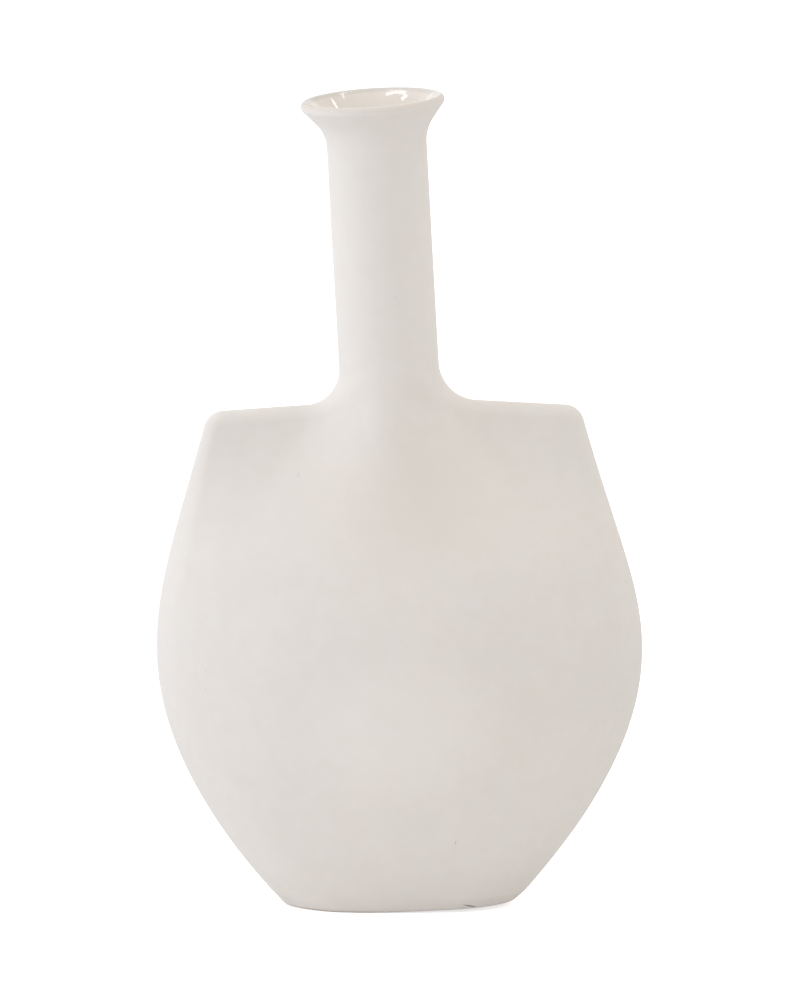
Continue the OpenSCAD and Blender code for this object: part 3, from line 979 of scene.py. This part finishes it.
def neck_and_mouth():
    clay_r = NECK_R - WALL
    bore_r = clay_r - GLAZE_T
    tube = upright(NECK_R, 0, NECK_LEN) + upright(clay_r, NECK_LEN, 0)
    bore = upright(clay_r, 0, NECK_LEN) + upright(bore_r, NECK_LEN, 0)
    turned_piece("neck_tube_piece", "neck_tube", tube, NECK_FOOT, CLAY)
    turned_piece("neck_glaze_piece", "neck_glaze", bore, NECK_FOOT, GLAZE)

    out, back = flare_side(0), flare_side(WALL)
    lip = lip_arc(-FLARE_ANGLE, 180 - FLARE_ANGLE)
    flare = out + straight(out[-1], lip[0]) + lip + straight(lip[-1], back[-1]) + back[::-1]
    turned_piece("mouth_flare_piece", "mouth_flare", flare, MOUTH_FOOT, CLAY)

    under = lip_arc(180 - FLARE_ANGLE, GLAZE_ENDS)
    over = lip_arc(GLAZE_ENDS, 180 - FLARE_ANGLE, GLAZE_EDGE_T, GLAZE_LIP_T)
    wet = over + run_glaze(under[0], back[-1]) + flare_side(WALL + GLAZE_T)[::-1]
    coat = back + straight(back[-1], under[0]) + under + wet
    turned_piece("mouth_glaze_piece", "mouth_glaze", coat, MOUTH_FOOT, GLAZE)


neck_and_mouth()


# Camera: what the middle of the photograph shows, how steeply it looks down, from how far,
# how far it sees, the size of a pixel on the vase, and the pixels of the frame's long side
VIEW_AT = Vector((0.00073, 0, 0.1991))
VIEW_RISE = math.radians(7.5)
VIEW_FAR = 12.0
VIEW_END = 40.0
PIXEL = 0.000488
FRAME_LONG = 1000


def look(obj, target):
    obj.rotation_euler = (target - obj.location).to_track_quat("-Z", "Y").to_euler()


def camera():
    lens = bpy.data.cameras.new("camera")
    lens.lens = lens.sensor_width * VIEW_FAR / (PIXEL * FRAME_LONG)
    lens.clip_end = VIEW_END
    obj = bpy.data.objects.new("camera", lens)
    obj.location = VIEW_AT + VIEW_FAR * Vector((0, -math.cos(VIEW_RISE), math.sin(VIEW_RISE)))
    look(obj, VIEW_AT)
    bpy.context.scene.collection.objects.link(obj)
    bpy.context.scene.camera = obj


# Room: the way that it is dimmest, and how bright it is at its brightest and its dimmest
DIM_WAY = (0.8, -0.45, -0.4)
ROOM_BRIGHT = 1.05
ROOM_DIM = 0.85
WHITE = linear("#FFFFFF")


def white_room():
    """White surroundings, seen as pure white, that light the vase a little less from the front right."""
    world = bpy.data.worlds.new("white_room")
    bpy.context.scene.world = world
    world.use_nodes = True
    tree = world.node_tree
    tree.nodes.clear()
    path = add(tree, "ShaderNodeLightPath").outputs
    seen = sums(tree, "MAXIMUM", path["Is Camera Ray"], path["Is Glossy Ray"])
    seen = sums(tree, "MAXIMUM", seen, path["Is Transmission Ray"])
    way = add(tree, "ShaderNodeTexCoord").outputs["Generated"]
    toward = add(tree, "ShaderNodeVectorMath",
                 {0: way, 1: DIM_WAY}, operation="DOT_PRODUCT").outputs["Value"]
    dimmed = remap(tree, toward, -1.0, 1.0, ROOM_BRIGHT, ROOM_DIM)
    room = add(tree, "ShaderNodeBackground", {"Color": WHITE, "Strength": dimmed})
    white = add(tree, "ShaderNodeBackground", {"Color": WHITE, "Strength": 1.0})
    around = add(tree, "ShaderNodeMixShader", {0: seen, 1: room.outputs[0], 2: white.outputs[0]})
    add(tree, "ShaderNodeOutputWorld", {"Surface": around.outputs[0]})


def lamp(name, width, height):
    """A lamp with an oblong face, which the camera doesn't see."""
    light = bpy.data.lights.new(name, "AREA")
    light.shape = "RECTANGLE"
    light.size, light.size_y = width, height
    obj = bpy.data.objects.new(name, light)
    obj.visible_camera = False
    bpy.context.scene.collection.objects.link(obj)
    return obj


def softbox(name, place, target, width, height, power, colour):
    obj = lamp(name, width, height)
    obj.data.energy = power
    obj.data.color = linear(colour)[:3]
    obj.location = place
    look(obj, Vector(target))


# The middle of the mouth, and how far out from it the bars hang. Each end of a bar is given
# by its turn from the front to the right and its angle above level, in degrees.
MOUTH_AT = Vector((-0.011, 0, 0.39))
BAR_FAR = 2.2


def bar_end(turn, rise_angle):
    """The place of a bar's end."""
    turn, up = math.radians(turn), math.radians(rise_angle)
    way = Vector((math.sin(turn) * math.cos(up), -math.cos(turn) * math.cos(up), math.sin(up)))
    return MOUTH_AT + BAR_FAR * way


def bar(name, start, end, width, glow):
    """A bright bar of window that the wet glaze reflects, so many times as bright as the white room."""
    start, end = bar_end(*start), bar_end(*end)
    middle = (start + end) / 2
    back = (middle - MOUTH_AT).normalized()
    along_bar = (end - start).normalized()
    obj = lamp(name, (end - start).length, width)
    obj.data.energy = glow * math.pi * obj.data.size * obj.data.size_y
    obj.matrix_world = Matrix((along_bar, back.cross(along_bar), back)).transposed().to_4x4()
    obj.location = middle


def lights():
    """A soft window from the left, a wall behind on the right, and bars for the mouth's highlights."""
    softbox("window_light", place=(-1.6, -0.1, 0.55), target=(0, 0, 0.25), width=1.4, height=1.6,
            power=8.2, colour="#DAE8FF")
    softbox("white_wall", place=(1.5, 0.9, 0.5), target=(0, 0, 0.2), width=1.0, height=1.4,
            power=0.6, colour="#F4F8FF")
    bar("left_top_bar", start=(-66, 68), end=(-105, 51), width=0.13, glow=5.5)
    bar("left_side_bar", start=(-93, 49.5), end=(-106, 48), width=0.15, glow=8.0)
    bar("right_side_bar", start=(111, 48.3), end=(120, 48.3), width=0.14, glow=8.0)
    bar("right_top_bar", start=(101.5, 61.8), end=(128, 76), width=0.24, glow=8.0)
    bar("back_left_bar", start=(-162, 12.5), end=(-148, 17), width=0.07, glow=0.9)
    bar("back_right_wall", start=(148, 17), end=(171, 13), width=0.45, glow=0.3)


# Floor: half its side, its grey, how much it glows for the camera, and how much it glows for the vase,
# which is full up to one distance from the middle and ends at another
FLOOR_HALF = 6.0
FLOOR_GREY = "#E5E5E5"
FLOOR_GLOW = 0.6
UNDER_GLOW = 0.15
UNDER_FULL = 0.06
UNDER_ENDS = 0.22


def white_floor():
    """White paper that shows the vase's shadow and throws a little light up on its foot."""
    material, tree, place = new_material("white_floor")
    path = add(tree, "ShaderNodeLightPath").outputs
    paper = add(tree, "ShaderNodeBsdfDiffuse", {"Color": linear(FLOOR_GREY)})
    far = add(tree, "ShaderNodeVectorMath", {0: place}, operation="LENGTH").outputs["Value"]
    near = remap(tree, far, UNDER_FULL, UNDER_ENDS, UNDER_GLOW, 0.0)
    glow = add(tree, "ShaderNodeEmission", {"Strength": FLOOR_GLOW})
    faint_glow = add(tree, "ShaderNodeEmission", {"Strength": near})
    lit = add(tree, "ShaderNodeAddShader", {0: paper.outputs[0], 1: glow.outputs[0]})
    faintly_lit = add(tree, "ShaderNodeAddShader", {0: paper.outputs[0], 1: faint_glow.outputs[0]})
    look_of_it = add(tree, "ShaderNodeMixShader",
                     {0: path["Is Camera Ray"], 1: faintly_lit.outputs[0], 2: lit.outputs[0]})
    add(tree, "ShaderNodeOutputMaterial", {"Surface": look_of_it.outputs[0]})
    corners = [(x * FLOOR_HALF, y * FLOOR_HALF, 0) for x, y in ((-1, -1), (1, -1), (1, 1), (-1, 1))]
    mesh = bpy.data.meshes.new("floor")
    mesh.from_pydata(corners, [], [(0, 1, 2, 3)])
    mesh.materials.append(material)
    obj = bpy.data.objects.new("floor", mesh)
    bpy.context.scene.collection.objects.link(obj)


camera()
white_room()
lights()
white_floor()
bpy.context.scene.view_settings.view_transform = "Standard"
